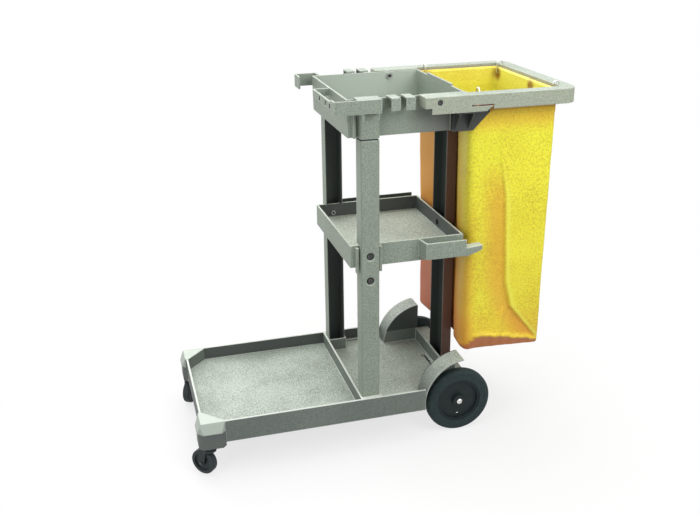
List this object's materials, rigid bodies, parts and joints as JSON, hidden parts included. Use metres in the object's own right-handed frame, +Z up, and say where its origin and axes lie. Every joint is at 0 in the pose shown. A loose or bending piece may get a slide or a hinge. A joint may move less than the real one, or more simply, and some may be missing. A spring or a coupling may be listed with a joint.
{
  "type": "janitor cart",
  "caption": "Janitor cart with a low moulded platform, channel uprights, shelf and top tray, a folding bag frame with hung waste bag, large rear wheels and swivel casters.",
  "frame": {"origin": "on the floor, below the middle of the cart's bounding box", "axes": "+X from the casters towards the bag, +Y to the right-hand side as pushed from the bag end, +Z up"},
  "size_m": [1.1028, 0.49, 1.045],
  "materials": {
    "grey_plastic": "fine-grained moulded grey",
    "yellow_vinyl": "yellow coated fabric",
    "rubber_tyre": "dark grey rubber",
    "dark_plastic": "dark moulded plastic",
    "steel": "zinc plated steel"
  },
  "bodies": {
    "cart": {"base_platform": "grey_plastic", "left_upright": "grey_plastic", "right_upright": "grey_plastic", "rear_upright": "grey_plastic", "middle_shelf": "grey_plastic", "top_tray": "grey_plastic", "pivot_pins": "steel", "pivot_nuts": "steel", "side_shelf_bolts": "steel", "side_shelf_nuts": "steel", "rear_shelf_bolt": "steel", "tray_bolts": "steel", "tray_nuts": "steel", "foot_screws": "steel", "rear_axle": "steel", "axle_washers": "steel", "axle_caps": "steel", "left_caster_stem": "steel", "left_caster_race": "dark_plastic", "right_caster_stem": "steel", "right_caster_race": "dark_plastic"},
    "bag_frame": {"bag_frame": "grey_plastic", "bag": "yellow_vinyl", "bag_front_panel": "yellow_vinyl", "bag_base_panel": "yellow_vinyl", "bag_hooks": "steel", "bag_eyelets": "steel"},
    "left_rear_wheel": {"left_wheel_hub": "dark_plastic", "left_wheel_tyre": "rubber_tyre"},
    "right_rear_wheel": {"right_wheel_hub": "dark_plastic", "right_wheel_tyre": "rubber_tyre"},
    "left_caster_swivel": {"left_caster_fork": "dark_plastic", "left_caster_axle": "steel"},
    "left_caster_wheel": {"left_caster_hub": "dark_plastic", "left_caster_tyre": "rubber_tyre"},
    "right_caster_swivel": {"right_caster_fork": "dark_plastic", "right_caster_axle": "steel"},
    "right_caster_wheel": {"right_caster_hub": "dark_plastic", "right_caster_tyre": "rubber_tyre"}
  },
  "joints": [
    {"name": "bag_frame_fold", "type": "hinge", "parent": "cart", "child": "bag_frame", "pos_m": [0.15144, 0, 1.018], "axis": [0, -1, 0], "range_deg": [0, 90]},
    {"name": "left_rear_wheel_spin", "type": "hinge", "parent": "cart", "child": "left_rear_wheel", "pos_m": [0.25144, -0.19, 0.1], "axis": [0, 1, 0], "continuous": true},
    {"name": "right_rear_wheel_spin", "type": "hinge", "parent": "cart", "child": "right_rear_wheel", "pos_m": [0.25144, 0.19, 0.1], "axis": [0, 1, 0], "continuous": true},
    {"name": "left_caster_swivel_turn", "type": "hinge", "parent": "cart", "child": "left_caster_swivel", "pos_m": [-0.50256, -0.221, 0.08], "axis": [0, 0, 1], "continuous": true},
    {"name": "left_caster_wheel_spin", "type": "hinge", "parent": "left_caster_swivel", "child": "left_caster_wheel", "pos_m": [-0.51838, -0.20572, 0.0375], "axis": [-0.6947, -0.7193, 0], "continuous": true},
    {"name": "right_caster_swivel_turn", "type": "hinge", "parent": "cart", "child": "right_caster_swivel", "pos_m": [-0.50256, 0.221, 0.08], "axis": [0, 0, 1], "continuous": true},
    {"name": "right_caster_wheel_spin", "type": "hinge", "parent": "right_caster_swivel", "child": "right_caster_wheel", "pos_m": [-0.51356, 0.20195, 0.0375], "axis": [0.866, -0.5, 0], "continuous": true}
  ]
}
